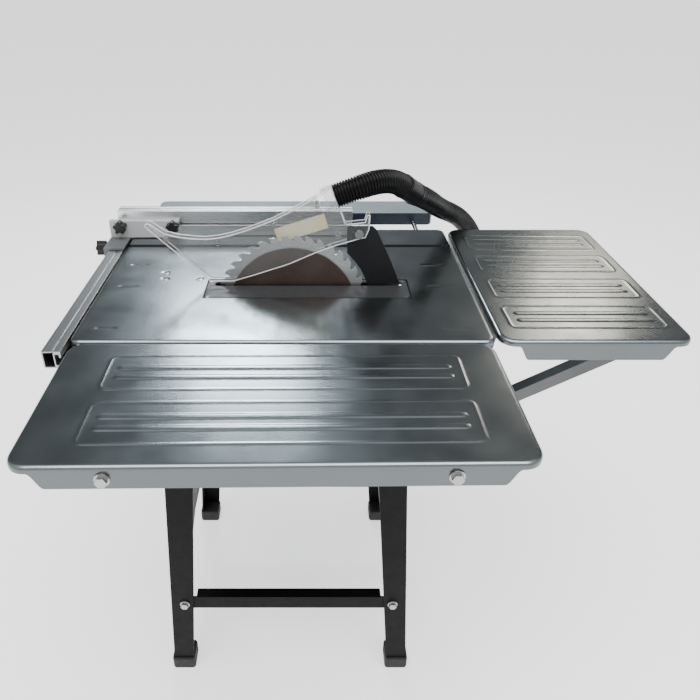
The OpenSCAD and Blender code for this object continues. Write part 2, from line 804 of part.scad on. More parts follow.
module motor_housing() color("#2b2e31") place()
    difference() {
        bar_y(blade_x, motor_z, motor_y0, motor_y1, motor_r);
        bar_y(blade_x, motor_z, motor_y0 + 3, motor_y1 - 3, motor_r - 3);
        bar_y(blade_x, motor_z, motor_y0 - 1, motor_y0 + 4, 6);
        bar_y(blade_x, motor_z, motor_y1 - 4, motor_y1 + 1, 5 + fit);
        for (a = [0:45:315])
            translate([blade_x, 0, motor_z]) rotate([0, a, 0])
                block([14, motor_y1 - 4, -3], [32, motor_y1 + 1, 3]);
    }

module motor_rotor() color("#a0642c") place() {
    bar_y(blade_x, motor_z, case_y0 + 3.5, motor_y1 - 1, 5);
    bar_y(blade_x, motor_z, motor_y0 + 20, motor_y1 - 25, 24);
    bar_y(blade_x, motor_z, motor_y0 + 7, motor_y0 + 17, 12);
    bar_y(blade_x, motor_z, motor_y1 - 18, motor_y1 - 10, 33);
    slab_y(case_y0 + 4, case_y1 - 5)
        translate([blade_x, motor_z]) gear_outline(pinion_teeth, 90 - 180 / pinion_teeth);
}

// ---- blade and arbor ----

module saw_blade() color("silver") place() {
    step = 360 / blade_teeth;
    tooth = [[0.02, -9], [0.16, -6.5], [0.4, -2.2], [0.88, 0], [0.8, -8.2], [0.9, -10.2]];
    difference() {
        slab_y(-blade_thickness / 2, blade_thickness / 2)
            translate([blade_x, arbor_z])
                polygon([
                    for (k = [0:blade_teeth - 1], p = tooth)
                        let (a = (k + p[0]) * step)
                        (blade_r + p[1]) * [cos(a), sin(a)]
                ]);
        bar_y(blade_x, arbor_z, -5, 5, arbor_r + 0.02);
    }
}

module arbor_shaft() color("gainsboro") place()
    bar_y(blade_x, arbor_z, -24, case_y1 - 0.5, arbor_r);

module blade_flanges() color("gray") place()
    for (y = [-blade_thickness / 2 - 4, blade_thickness / 2])
        difference() {
            bar_y(blade_x, arbor_z, y, y + 4, 25);
            bar_y(blade_x, arbor_z, y - 1, y + 5, arbor_r + 0.02);
        }

module arbor_nut() color("gainsboro") place()
    difference() {
        hex_y(blade_x, arbor_z, -17, -blade_thickness / 2 - 4, 14);
        bar_y(blade_x, arbor_z, -18, 0, arbor_r + 0.02);
    }

module arbor_gear() color("gray") place()
    difference() {
        slab_y(case_y0 + 4, case_y1 - 5)
            translate([blade_x, arbor_z]) gear_outline(gear_teeth, -90);
        bar_y(blade_x, arbor_z, case_y0, case_y1, arbor_r + 0.02);
    }

// ---- handwheel and tilt lock ----

module handwheel() color("#18191b") place()
    difference() {
        translate([-244, guide_y, crank_z]) rotate([0, 90, 0]) {
            rotate_extrude($fn = 96) translate([48, 0]) circle(7);
            translate([0, 0, -8]) cylinder(r = 13, h = 16);
            for (k = [0:2])
                rotate([0, 0, k * 120]) block([8, -6, -4], [46, 6, 4]);
        }
        bar_x(guide_y, crank_z, -260, -230, 5 + 0.02);
        bar_x(guide_y, crank_z + 42, -260, -230, 4 + fit);
    }

module crank_shaft() color("gainsboro") place() {
    bar_x(guide_y, crank_z, -252, screw_x - 10, 5);
    translate([screw_x - 16, guide_y, crank_z]) rotate([0, 90, 0])
        cylinder(r1 = 15.6, r2 = 9.6, h = 6);
}

module crank_grip() color("#18191b") place() {
    bar_x(guide_y, crank_z + 42, -290, -251.5, 9);
    bar_x(guide_y, crank_z + 42, -252, -236, 4);
}

module tilt_lock_knob() color("#18191b") place()
    translate([-212, 0, lock_z]) star_knob(20, 20, 5, 58);

// ---- blade guard ----

// Cylinder along the axis of the hose collar, from below its mouth to a little past it
module collar(r, length, past)
    translate([port_centre[0], 0, port_centre[1]])
        rotate([0, 90 - port_angle, 0])
            translate([0, 0, -length]) cylinder(r = r, h = length + past);

// Half of the guard on the side of negative y: one panel, half of the top web and the bosses
module guard_half_shell() {
    difference() {
        union() {
            slab_y(-guard_half, -guard_half + guard_sheet) polygon(guard_outline);
            slab_y(-guard_half, 0)
                difference() {
                    polygon(guard_outline);
                    translate([1.4, -2.2]) polygon(guard_outline);
                    translate([88, 0]) square([60, 200]);
                }
            for (p = guard_posts) bar_y(p[0], p[1], -guard_half, 0, 4.5);
        }
        for (p = guard_posts) bar_y(p[0], p[1], -guard_half - 1, 1, 2 + fit);
        bar_y(guard_pivot[0], guard_pivot[1], -guard_half - 1, 1, guard_pivot_r);
    }
}

module guard_right_shell() color("lightcyan", 0.4) place()
    difference() {
        union() {
            guard_half_shell();
            collar(hose_diameter / 2, collar_length, 0);
        }
        collar(hose_diameter / 2 - 2.5, collar_length + 8, 1);
    }

module guard_left_shell() color("lightcyan", 0.4) place()
    difference() {
        mirror([0, 1, 0]) guard_half_shell();
        collar(hose_diameter / 2, collar_length, 1);
        collar(hose_diameter / 2 - 2.5, collar_length + 8, 1);
    }

module guard_screws() color("gainsboro") place()
    for (p = guard_posts)
        union() {
            bar_y(p[0], p[1], -guard_half - 1, guard_half + 1, 2);
            bar_y(p[0], p[1], -guard_half - 2.5, -guard_half, 3.5);
            hex_y(p[0], p[1], guard_half, guard_half + 2.5, 3.8);
        }

module guard_label() color("#e8e6d0") place()
    translate([25, 0, 94]) rotate([0, -18, 0])
        block([-42, guard_half, -12.5], [42, guard_half + 0.4, 12.5]);

// ---- dust hose ----

function unit(v) = v / norm(v);
function tangent(k) =
    unit(hose_route[min(k + 1, len(hose_route) - 1)] - hose_route[max(k - 1, 0)]);

// Ring of points around one point of the hose's route, square to it and moved along it by shift
function ring(k, r, sides, shift) =
    let (t = tangent(k), side = unit(cross(t, [1, -1, 0])), up = cross(side, t))
    [for (j = [0:sides - 1])
        hose_route[k] + shift * t + r * (cos(360 * j / sides) * side + sin(360 * j / sides) * up)];

// Tube along a stretch of the hose's route, as one closed solid that stops short of its neighbours
module tube(from, to, r) {
    sides = 12;
    rings = to - from + 1;
    points = [
        for (k = [from:to])
            let (shift = k == from ? hose_joint_gap : k == to ? -hose_joint_gap : 0)
            each ring(k, r, sides, shift)
    ];
    walls = [
        for (k = [0:rings - 2], j = [0:sides - 1])
            let (a = k * sides + j, b = k * sides + (j + 1) % sides)
            [a, b, b + sides, a + sides]
    ];
    first = [for (j = [sides - 1:-1:0]) j];
    last = [for (j = [0:sides - 1]) (rings - 1) * sides + j];
    polyhedron(points, concat([first], walls, [last]));
}

module hose_upper() color("#111111") place() tube(0, cuff_start, hose_diameter / 2);
module hose_cuff() color("#161616") place() tube(cuff_start, cuff_end, hose_diameter / 2 + 1);
module hose_lower() color("#111111") place()
    tube(cuff_end, len(hose_route) - 1, hose_diameter / 2);

// ---- rail and fence ----

module front_rail() color("silver") place()
    slab_y(-table_right - 25, table_left + 3)
        difference() {
            translate([rail_x0, rail_bottom])
                square([rail_x1 - rail_x0, rail_top - rail_bottom]);
            translate([rail_x0 + 2, rail_bottom + 2]) square([14, 23]);
            translate([rail_x1 - 9, rail_bottom + 5]) square([6, 17]);
            translate([rail_x1 - 4, rail_bottom + 10]) square([5, 7]);
            translate([rail_x1 - 12, rail_top - 1.2]) square([2, 3]);
        }

module rail_brackets() color("#101112") place()
    for (y = [-176, 196])
        block([rail_x1, y, -26], [front_x, y + 28, -7]);

module fence_carriage() color("#63686c") place()
    difference() {
        block([rail_x0 - 10, carriage_y0, -22], [rail_x1 + 1, carriage_y1, carriage_top]);
        block([rail_x0 - 0.3, carriage_y0 - 1, -23], [rail_x1 + 2, carriage_y1 + 1, -1.7]);
        bar_x(clamp_y, clamp_z, rail_x0 - 11, rail_x0, 3 + fit);
    }

module fence_bracket() color("#b9bcbd") place()
    difference() {
        block([rail_x0 - 9, fence_y - 12, carriage_top], [-212, fence_y - 0.2, 34]);
        for (x = knob_x) bar_y(x, knob_z, fence_y - 13, fence_y + 1, stud_r + fit);
    }

module fence_profile() color("whitesmoke") place()
    slab_x(fence_x1 - fence_length, fence_x1)
        translate([fence_y, fence_z0])
            difference() {
                square([fence_depth, fence_height]);
                translate([3, 3]) square([fence_depth - 6, 11]);
                translate([-1, 20]) square([5, 6]);
                translate([3, 16.5]) square([6, 13]);
                translate([12, 16.5]) square([fence_depth - 15, 13]);
                translate([3, 32]) square([fence_depth - 6, fence_height - 35]);
                for (y = [6, 20]) translate([y, fence_height - 1]) square([2, 2]);
            }

// Knob with wings that clamps the fence profile to its bracket
module fence_knob(x) place()
    translate([x, 0, knob_z]) {
        y0 = fence_y - 12;
        translate([0, y0 - 0.3, 0]) rotate([0, 0, 90]) mirror([1, 0, 0]) star_knob(16, 12, 1, 0);
        bar_y(0, 0, y0 - 4, fence_y + 8, stud_r);
        bar_y(0, 0, fence_y + 3.5, fence_y + 8, 5.5);
    }

module fence_front_knob() color("#111111") fence_knob(knob_x[0]);
module fence_rear_knob() color("#111111") fence_knob(knob_x[1]);

module fence_clamp_knob() color("#111111") place()
    translate([rail_x0 - 32, clamp_y, clamp_z]) star_knob(18, 14, 3, 13.5);

// ---- side support ----

module support_bar() color("#8fa3ab") place()
    difference() {
        plate(6 - support_length / 2, 6 + support_length / 2, support_y0,
            support_y0 + support_depth, 14, -support_height, 0);
        plate(9 - support_length / 2, 3 + support_length / 2, support_y0 + 3,
            support_y0 + support_depth - 3, 11, -support_height - 1, -3);
    }

module support_rods() color("gainsboro") place()
    for (x = rod_x) bar_y(x, rod_z, 20, support_y0, rod_r);

module support_guides() color("#2b2e31") place()
    for (x = rod_x, y = [60, table_left - sheet - 21])
        difference() {
            block([x - 14, y, -28], [x + 14, y + 21, -sheet]);
            bar_y(x, rod_z, y - 1, y + 22, rod_r + 0.06);
        }

// ---- nodes ----

main_table();
table_insert();
countersunk_screws();
housing();
right_extension();
rear_extension();
right_struts();
rear_struts();
hex_bolts();
front_rail();
rail_brackets();
support_guides();
front_right_leg();
rear_right_leg();
front_left_leg();
rear_left_leg();
rubber_feet();
upper_braces();
lower_braces();
leg_gussets();
switch_box();
start_button();
stop_button();
power_inlet();
dust_port();
trunnions();
tilt_carriage();
riving_knife();
guide_rods();
blade_shroud();
guard_bolt();
lift_screw();
lift_bracket();
gear_case();
motor_housing();
saw_blade();
arbor_shaft();
blade_flanges();
arbor_nut();
arbor_gear();
motor_rotor();
handwheel();
crank_shaft();
crank_grip();
tilt_lock_knob();
guard_right_shell();
guard_left_shell();
guard_screws();
guard_label();
hose_upper();
hose_cuff();
hose_lower();
fence_carriage();
fence_bracket();
fence_profile();
fence_clamp_knob();
fence_front_knob();
fence_rear_knob();
support_bar();
support_rods();
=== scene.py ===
"""Looks of a table saw: rounded sheet-metal tables, corrugated hose, materials, light and camera."""

import json
import math

import bmesh
import bpy
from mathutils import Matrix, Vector


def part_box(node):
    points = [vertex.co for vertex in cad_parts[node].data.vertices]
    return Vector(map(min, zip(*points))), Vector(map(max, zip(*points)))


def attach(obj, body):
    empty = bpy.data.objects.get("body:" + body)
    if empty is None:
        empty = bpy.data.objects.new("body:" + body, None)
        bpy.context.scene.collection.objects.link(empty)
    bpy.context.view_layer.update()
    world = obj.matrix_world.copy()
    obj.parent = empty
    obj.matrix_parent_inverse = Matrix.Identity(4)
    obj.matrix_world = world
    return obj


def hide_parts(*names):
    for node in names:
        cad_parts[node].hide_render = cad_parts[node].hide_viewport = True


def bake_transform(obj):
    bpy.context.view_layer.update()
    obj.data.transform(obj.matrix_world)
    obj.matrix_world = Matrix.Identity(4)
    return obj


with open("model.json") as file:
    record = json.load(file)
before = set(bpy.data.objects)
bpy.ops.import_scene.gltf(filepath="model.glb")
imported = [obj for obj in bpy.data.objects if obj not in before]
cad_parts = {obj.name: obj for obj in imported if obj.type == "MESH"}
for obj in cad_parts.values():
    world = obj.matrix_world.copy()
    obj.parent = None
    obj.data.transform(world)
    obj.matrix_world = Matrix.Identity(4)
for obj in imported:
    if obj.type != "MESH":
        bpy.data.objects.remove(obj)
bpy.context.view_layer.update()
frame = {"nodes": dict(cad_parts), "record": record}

# The saw's own coordinates: millimetres from the middle of the table, in the plane of the blade,
# at the table's surface. The frame's origin is on the floor, under the middle of the outline.
TABLE_IN_FRAME = Vector((-109.0, 6.5, 750.0))


def at(x, y, z=0.0):
    """A point of the saw's own coordinates, in the frame, in metres."""
    return (Vector((x, y, z)) + TABLE_IN_FRAME) / 1000


BLADE_CENTRE = (10, 0, -41)

# ---- camera ----


def make_camera():
    """The camera that sees the saw from its right, level across and tipped down."""
    data = bpy.data.cameras.new("camera")
    data.lens = 33.8
    data.shift_x = 0.0586
    data.clip_end = 200
    camera = bpy.data.objects.new("camera", data)
    camera.location = at(37.5, -994, 471)
    camera.rotation_euler = (math.radians(90 - 31.1), 0, 0)
    bpy.context.scene.collection.objects.link(camera)
    bpy.context.scene.camera = camera


make_camera()

# ---- materials ----


class Nodes:
    """A material's node tree, with short calls for the nodes that the materials here use."""

    def __init__(self, name):
        self.material = bpy.data.materials.new(name)
        self.material.use_nodes = True
        self.tree = self.material.node_tree
        self.shader = self.tree.nodes["Principled BSDF"]

    def add(self, kind, values=None, **options):
        node = self.tree.nodes.new("ShaderNode" + kind)
        for key, value in options.items():
            setattr(node, key, value)
        for key, value in (values or {}).items():
            if isinstance(value, bpy.types.NodeSocket):
                self.tree.links.new(value, node.inputs[key])
            else:
                node.inputs[key].default_value = value
        return node

    def set(self, **values):
        names = {
            "color": "Base Color", "metallic": "Metallic", "roughness": "Roughness",
            "normal": "Normal", "coat": "Coat Weight", "coat_roughness": "Coat Roughness",
            "alpha": "Alpha", "specular": "Specular IOR Level",
        }
        for key, value in values.items():
            socket = self.shader.inputs[names[key]]
            if isinstance(value, bpy.types.NodeSocket):
                self.tree.links.new(value, socket)
            else:
                socket.default_value = value
        return self

    def place(self, scale=(1, 1, 1)):
        """Object coordinates, stretched."""
        coordinates = self.add("TexCoord").outputs["Object"]
        return self.add("Mapping", {"Vector": coordinates, "Scale": scale}).outputs["Vector"]

    def upward(self):
        """Height of the surface's normal: 1 on a face that looks up, 0 on an upright one."""
        normal = self.add("NewGeometry").outputs["Normal"]
        return self.add("SeparateXYZ", {0: normal}).outputs["Z"]

    def noise(self, scale, detail, rough=0.55, vector=None):
        return self.add(
            "TexNoise",
            {
                "Vector": vector or self.place(), "Scale": scale, "Detail": detail,
                "Roughness": rough,
            },
        ).outputs["Fac"]

    def remap(self, value, low, high, new_low, new_high):
        return self.add(
            "MapRange",
            {
                "Value": value, "From Min": low, "From Max": high, "To Min": new_low,
                "To Max": new_high,
            },
        ).outputs["Result"]

    def math(self, operation, a, b=0.0):
        return self.add("Math", {0: a, 1: b}, operation=operation).outputs[0]

    def blend(self, factor, a, b):
        """Colour a where the factor is 0 and b where it is 1."""
        node = self.add("Mix", data_type="RGBA")
        for socket, value in ((0, factor), (6, a), (7, b)):
            if isinstance(value, bpy.types.NodeSocket):
                self.tree.links.new(value, node.inputs[socket])
            else:
                node.inputs[socket].default_value = value
        return node.outputs[2]

    def bump(self, height, strength, distance):
        return self.add(
            "Bump", {"Height": height, "Strength": strength, "Distance": distance}
        ).outputs["Normal"]


def grey(value):
    return (value, value, value, 1.0)


def tint(r, g, b):
    return (r, g, b, 1.0)


def darker(color, share):
    return tint(*(channel * share for channel in color[:3]))


def lighter(color, share, more):
    return tint(*(min(1.0, channel * share + more) for channel in color[:3]))


def sheet_metal(name, dark, light, rough_low, rough_high):
    """Coated sheet: cloudy colour, gentle waves, a sparkle of crystals, and upright faces darkened
    as painted shade.
    """
    n = Nodes(name)
    clouds = n.noise(7, 4)
    crystals = n.add("TexVoronoi", {"Vector": n.place(), "Scale": 1300.0}).outputs["Distance"]
    shade = n.blend(clouds, dark, light)
    color = n.blend(n.remap(crystals, 0.45, 0.85, 0.0, 0.04), shade, grey(0.85))
    # Painted shade: upright faces are blended towards near black, for the shade on them.
    painted_side_shade = n.remap(n.math("ABSOLUTE", n.upward()), 0.2, 0.7, 0.6, 0.0)
    color = n.blend(painted_side_shade, color, grey(0.06))
    rough = n.remap(n.noise(16, 2), 0.3, 0.7, rough_low, rough_high)
    waves = n.bump(n.noise(6, 0), 0.3, 0.0012)
    return n.set(color=color, metallic=1.0, roughness=rough, normal=waves).material


def paint(name, color, rough, speckle=0.25, specular=0.3):
    """Powder coat: orange peel, slightly uneven gloss, a trace of dust."""
    n = Nodes(name)
    dust = n.remap(n.noise(14, 6, 0.7), 0.5, 0.85, 0.0, speckle)
    shade = n.blend(dust, color, lighter(color, 1.9, 0.012))
    rough_map = n.remap(n.noise(60, 5), 0.25, 0.75, rough - 0.08, rough + 0.12)
    normal = n.bump(n.noise(700, 2), 0.12, 0.0004)
    return n.set(color=shade, roughness=rough_map, normal=normal, specular=specular).material


def support_coat():
    """Blue-grey coat whose upward faces are painted paler in patches: painted light for the bright
    sky they reflect.
    """
    n = Nodes("support_coat")
    # Painted light: upward faces are blended towards pale blue-grey, patchy by this noise, for the
    # bright reflection on them.
    dust = n.remap(n.noise(9, 5, 0.6), 0.35, 0.75, 0.75, 1.0)
    painted_top_light = n.math("MULTIPLY", n.remap(n.upward(), 0.2, 0.9, 0.0, 1.0), dust)
    color = n.blend(painted_top_light, tint(0.012, 0.018, 0.03), tint(0.22, 0.27, 0.29))
    rough = n.remap(n.noise(60, 4), 0.3, 0.7, 0.28, 0.42)
    return n.set(color=color, roughness=rough, normal=n.bump(n.noise(600, 2), 0.1, 0.0003),
                 specular=0.3).material


def moulded(name, color, rough, grain=0.16):
    """Moulded plastic or rubber: fine grain and rubbed patches."""
    n = Nodes(name)
    rubbed = n.remap(n.noise(22, 5, 0.65), 0.45, 0.8, 0.0, 0.5)
    shade = n.blend(rubbed, color, lighter(color, 1.6, 0.01))
    rough_map = n.remap(n.noise(90, 4), 0.3, 0.7, rough - 0.07, rough + 0.12)
    normal = n.bump(n.noise(1500, 2), grain, 0.0003)
    return n.set(color=shade, roughness=rough_map, normal=normal, specular=0.35).material


def brushed(name, color, along, rough, depth):
    """Drawn or ground metal with fine lines that run along one axis."""
    n = Nodes(name)
    stretch = tuple(14.0 if k == "xyz".index(along) else 1500.0 for k in range(3))
    lines = n.noise(1.0, 4, 0.6, n.place(stretch))
    stains = n.noise(11, 4)
    shade = n.blend(n.remap(lines, 0.3, 0.7, 0.0, 1.0), darker(color, 0.9), color)
    shade = n.blend(n.remap(stains, 0.35, 0.8, 0.0, 0.3), shade, darker(color, 0.8))
    rough_map = n.remap(lines, 0.25, 0.75, rough - 0.03, rough + 0.08)
    normal = n.bump(lines, depth, 0.0003)
    return n.set(color=shade, metallic=1.0, roughness=rough_map, normal=normal).material


def blade_steel():
    """Dark coated disc with a bright ground rim, and fine rings from grinding all over it.

    The rim starts between 105.5 and 108.5 mm from the blade's centre, a little unevenly.
    """
    n = Nodes("blade_steel")
    centre = at(*BLADE_CENTRE)
    local = n.add("VectorMath", {0: n.place(), 1: centre}, operation="SUBTRACT").outputs[0]
    flat = n.add("VectorMath", {0: local, 1: (1, 0, 1)}, operation="MULTIPLY").outputs[0]
    radius = n.add("VectorMath", {0: flat}, operation="LENGTH").outputs["Value"]
    rings = n.add("TexNoise", {"W": n.math("MULTIPLY", radius, 2600.0), "Detail": 3.0,
                               "Scale": 1.0}, noise_dimensions="1D").outputs["Fac"]
    worn = n.math("ADD", radius, n.math("MULTIPLY", n.noise(40, 4), 0.003))
    rim = n.remap(worn, 0.1055, 0.1085, 0.0, 1.0)
    coat = n.blend(n.noise(35, 5), tint(0.095, 0.066, 0.058), tint(0.17, 0.125, 0.11))
    bright = n.blend(rings, grey(0.66), grey(0.9))
    color = n.blend(rim, coat, bright)
    rough = n.add("Mix", {0: rim, 2: 0.42, 3: 0.24}).outputs[0]
    normal = n.bump(rings, 0.12, 0.0003)
    return n.set(color=color, metallic=0.9, roughness=rough, normal=normal).material


def clear_plastic(name, thin, thick, shade):
    """Clear sheet that is nearly invisible face on and denser where it is seen edge on."""
    n = Nodes(name)
    facing = n.add("LayerWeight", {"Blend": 0.4}).outputs["Facing"]
    smears = n.noise(30, 6, 0.7)
    alpha = n.math("ADD", n.remap(facing, 0.35, 1.0, thin, thick),
                   n.remap(smears, 0.5, 0.85, 0.0, 0.06))
    color = n.blend(smears, grey(shade), tint(shade * 1.15, shade * 1.2, shade * 1.22))
    rough = n.remap(smears, 0.3, 0.8, 0.04, 0.16)
    normal = n.bump(n.noise(18, 3), 0.12, 0.002)
    return n.set(color=color, alpha=alpha, roughness=rough, normal=normal, specular=0.9,
                 coat=0.5, coat_roughness=0.04).material


def aged_label():
    """Blank sticker, pale, with yellowed patches."""
    n = Nodes("aged_label")
    stain = n.remap(n.noise(28, 5, 0.7), 0.4, 0.8, 0.0, 0.6)
    color = n.blend(stain, tint(0.95, 0.90, 0.66), tint(0.86, 0.74, 0.32))
    rough = n.remap(n.noise(120, 3), 0.3, 0.7, 0.35, 0.55)
    # Painted light: the label glows faintly in its own colour, for light shining through it from
    # behind.
    n.tree.links.new(color, n.shader.inputs["Emission Color"])
    n.shader.inputs["Emission Strength"].default_value = 0.22
    return n.set(color=color, roughness=rough, normal=n.bump(n.noise(500, 2), 0.1, 0.0003)).material


def hose_plastic(name, low, high):
    """Black flexible hose: glossy, with patches of dust."""
    n = Nodes(name)
    dust = n.remap(n.noise(45, 6, 0.7), 0.45, 0.8, 0.0, 0.4)
    color = n.blend(dust, tint(0.002, 0.002, 0.0022), tint(0.007, 0.007, 0.0075))
    rough = n.remap(n.noise(80, 4), 0.3, 0.7, low, high)
    return n.set(color=color, roughness=rough, normal=n.bump(n.noise(900, 2), 0.1, 0.0003),
                 specular=0.2).material


SHEET = sheet_metal(
    "galvanised_sheet", tint(0.20, 0.232, 0.245), tint(0.26, 0.292, 0.305), 0.2, 0.27
)
BLACK_PAINT = paint("black_paint", tint(0.003, 0.003, 0.0036), 0.46, 0.1, 0.1)
STRUT_STEEL = sheet_metal("strut_steel", tint(0.13, 0.14, 0.145), tint(0.18, 0.19, 0.195), 0.35, 0.5)
DARK_PAINT = paint("dark_insert", tint(0.03, 0.032, 0.034), 0.34)
GREY_CASTING = paint("grey_casting", tint(0.11, 0.115, 0.12), 0.45)
LIGHT_CASTING = paint("light_casting", tint(0.42, 0.43, 0.43), 0.38)
SUPPORT_PAINT = support_coat()
ZINC = brushed("zinc", tint(0.42, 0.42, 0.41), "x", 0.24, 0.05)
BRIGHT_X = brushed("bright_steel_x", tint(0.66, 0.67, 0.68), "x", 0.18, 0.04)
BRIGHT_Y = brushed("bright_steel_y", tint(0.66, 0.67, 0.68), "y", 0.18, 0.04)
BRIGHT_Z = brushed("bright_steel_z", tint(0.66, 0.67, 0.68), "z", 0.18, 0.04)
ALUMINIUM_X = brushed("aluminium_x", tint(0.78, 0.79, 0.8), "x", 0.26, 0.04)
ALUMINIUM_Y = brushed("aluminium_y", tint(0.42, 0.43, 0.44), "y", 0.3, 0.05)
MECHANISM = paint("mechanism_steel", tint(0.03, 0.032, 0.034), 0.4)
KNIFE = paint("knife_steel", tint(0.008, 0.0085, 0.0095), 0.36)
BLACK_PLASTIC = moulded("black_plastic", tint(0.006, 0.006, 0.0065), 0.36)
RUBBER = moulded("foot_rubber", tint(0.018, 0.018, 0.018), 0.7, 0.3)
YELLOW = moulded("switch_yellow", tint(0.72, 0.5, 0.02), 0.3)
GREEN = moulded("button_green", tint(0.02, 0.26, 0.06), 0.28)
RED = moulded("button_red", tint(0.55, 0.02, 0.015), 0.28)
COPPER = brushed("rotor_metal", tint(0.5, 0.27, 0.14), "y", 0.4, 0.2)
BLADE = blade_steel()
CLEAR = clear_plastic("clear_plastic", 0.10, 0.62, 0.3)
# Painted highlight: near-white, nearly opaque plastic for the tubes along the guard's edges.
PAINTED_EDGE_HIGHLIGHT = clear_plastic("painted_edge_highlight", 0.6, 0.9, 0.9)
LABEL = aged_label()
HOSE = hose_plastic("hose_plastic", 0.26, 0.36)
CUFF = hose_plastic("cuff_plastic", 0.34, 0.46)

# Material of each CAD node that stays, and of the softened copy of each that is replaced
LOOKS = {
    "table_insert": DARK_PAINT, "countersunk_screws": ZINC, "housing": BLACK_PAINT,
    "right_struts": STRUT_STEEL, "rear_struts": STRUT_STEEL, "hex_bolts": ZINC,
    "front_rail": ALUMINIUM_Y, "rail_brackets": BLACK_PAINT, "support_guides": BLACK_PLASTIC,
    "front_right_leg": BLACK_PAINT, "rear_right_leg": BLACK_PAINT,
    "front_left_leg": BLACK_PAINT, "rear_left_leg": BLACK_PAINT, "rubber_feet": RUBBER,
    "upper_braces": BLACK_PAINT, "lower_braces": BLACK_PAINT, "leg_gussets": BLACK_PAINT,
    "switch_box": YELLOW, "start_button": GREEN, "stop_button": RED,
    "power_inlet": BLACK_PLASTIC, "dust_port": BLACK_PLASTIC, "trunnions": GREY_CASTING,
    "tilt_carriage": MECHANISM, "riving_knife": KNIFE, "guide_rods": BRIGHT_Z,
    "blade_shroud": MECHANISM, "guard_bolt": ZINC, "lift_screw": BRIGHT_Z,
    "lift_bracket": GREY_CASTING, "gear_case": GREY_CASTING, "motor_housing": BLACK_PLASTIC,
    "saw_blade": BLADE, "arbor_shaft": BRIGHT_Y, "blade_flanges": MECHANISM,
    "arbor_nut": ZINC, "arbor_gear": MECHANISM, "motor_rotor": COPPER,
    "handwheel": BLACK_PLASTIC, "crank_shaft": BRIGHT_X, "crank_grip": BLACK_PLASTIC,
    "tilt_lock_knob": BLACK_PLASTIC, "guard_right_shell": CLEAR, "guard_left_shell": CLEAR,
    "guard_screws": ZINC, "guard_label": LABEL, "fence_carriage": GREY_CASTING,
    "fence_bracket": LIGHT_CASTING, "fence_profile": ALUMINIUM_X,
    "fence_clamp_knob": BLACK_PLASTIC, "fence_front_knob": BLACK_PLASTIC,
    "fence_rear_knob": BLACK_PLASTIC, "support_bar": SUPPORT_PAINT, "support_rods": BRIGHT_Y,
}


def dress(piece, material):
    piece.data.materials.clear()
    piece.data.materials.append(material)


for node, material in LOOKS.items():
    dress(frame["nodes"][node], material)

# ---- making pieces ----

BODIES = frame["record"]["behaviour"]["bodies"]
BODY_OF = {node: body for body, nodes in BODIES.items() for node in nodes}


def new_piece(name, points, faces, material, node, smooth=True):
    """A mesh that stands for a CAD node, riding on the node's body."""
    mesh = bpy.data.meshes.new(name)
    mesh.from_pydata([tuple(p) for p in points], [], faces)
    mesh.validate()
    piece = bpy.data.objects.new(name, mesh)
    bpy.context.scene.collection.objects.link(piece)
    dress(piece, material)
    for polygon in mesh.polygons:
        polygon.use_smooth = smooth
    if node:
        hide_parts(node)
    return piece


def apply_modifiers(piece):
    bpy.context.view_layer.update()
    evaluated = piece.evaluated_get(bpy.context.evaluated_depsgraph_get())
    mesh = bpy.data.meshes.new_from_object(evaluated)
    piece.modifiers.clear()
    piece.data = mesh


def softened(node, width):
    """A copy of a CAD node with its edges rounded, which takes the node's place."""
    source = frame["nodes"][node]
    build = bmesh.new()
    build.from_mesh(source.data)
    bmesh.ops.remove_doubles(build, verts=build.verts, dist=1e-6)
    bmesh.ops.dissolve_limit(
        build, angle_limit=math.radians(1.0), verts=build.verts, edges=build.edges
    )
    mesh = bpy.data.meshes.new(node + "_soft")
    build.to_mesh(mesh)
    build.free()
    mesh.shade_smooth()
    piece = bpy.data.objects.new(node + "_soft", mesh)
    bpy.context.scene.collection.objects.link(piece)
    dress(piece, LOOKS[node])
    bevel = piece.modifiers.new("bevel", "BEVEL")
    bevel.width = width / 1000
    bevel.segments = 2
    bevel.limit_method = "ANGLE"
    bevel.angle_limit = math.radians(35)
    weighted = piece.modifiers.new("weighted", "WEIGHTED_NORMAL")
    weighted.mode = "FACE_AREA"
    weighted.weight = 90
    apply_modifiers(piece)
    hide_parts(node)
    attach(piece, BODY_OF[node])
    return piece


# ---- hose ----

HOSE_RADIUS = 19.0
# Middle line from the guard over the rear of the saw and down to the dust port
HOSE_ROUTE = [
    (79, 0, 150), (97, 0, 157), (116, 2, 163), (136, 9, 167), (155, 19, 167), (172, 32, 162),
    (186, 46, 153), (201, 64, 140), (215, 83, 127), (234, 113, 111), (253, 146, 93),
    (272, 182, 73), (293, 219, 53), (317, 253, 34), (341, 284, 13), (366, 309, -15),
    (387, 322, -50), (398, 322, -92), (398, 308, -133), (390, 284, -168), (376, 250, -192),
    (356, 208, -204), (338, 164, -207), (319, 122, -205), (298, 93, -205), (275, 70, -205),
]
# Points of the route where the cuff starts and ends
CUFF_START = 6
CUFF_END = 8


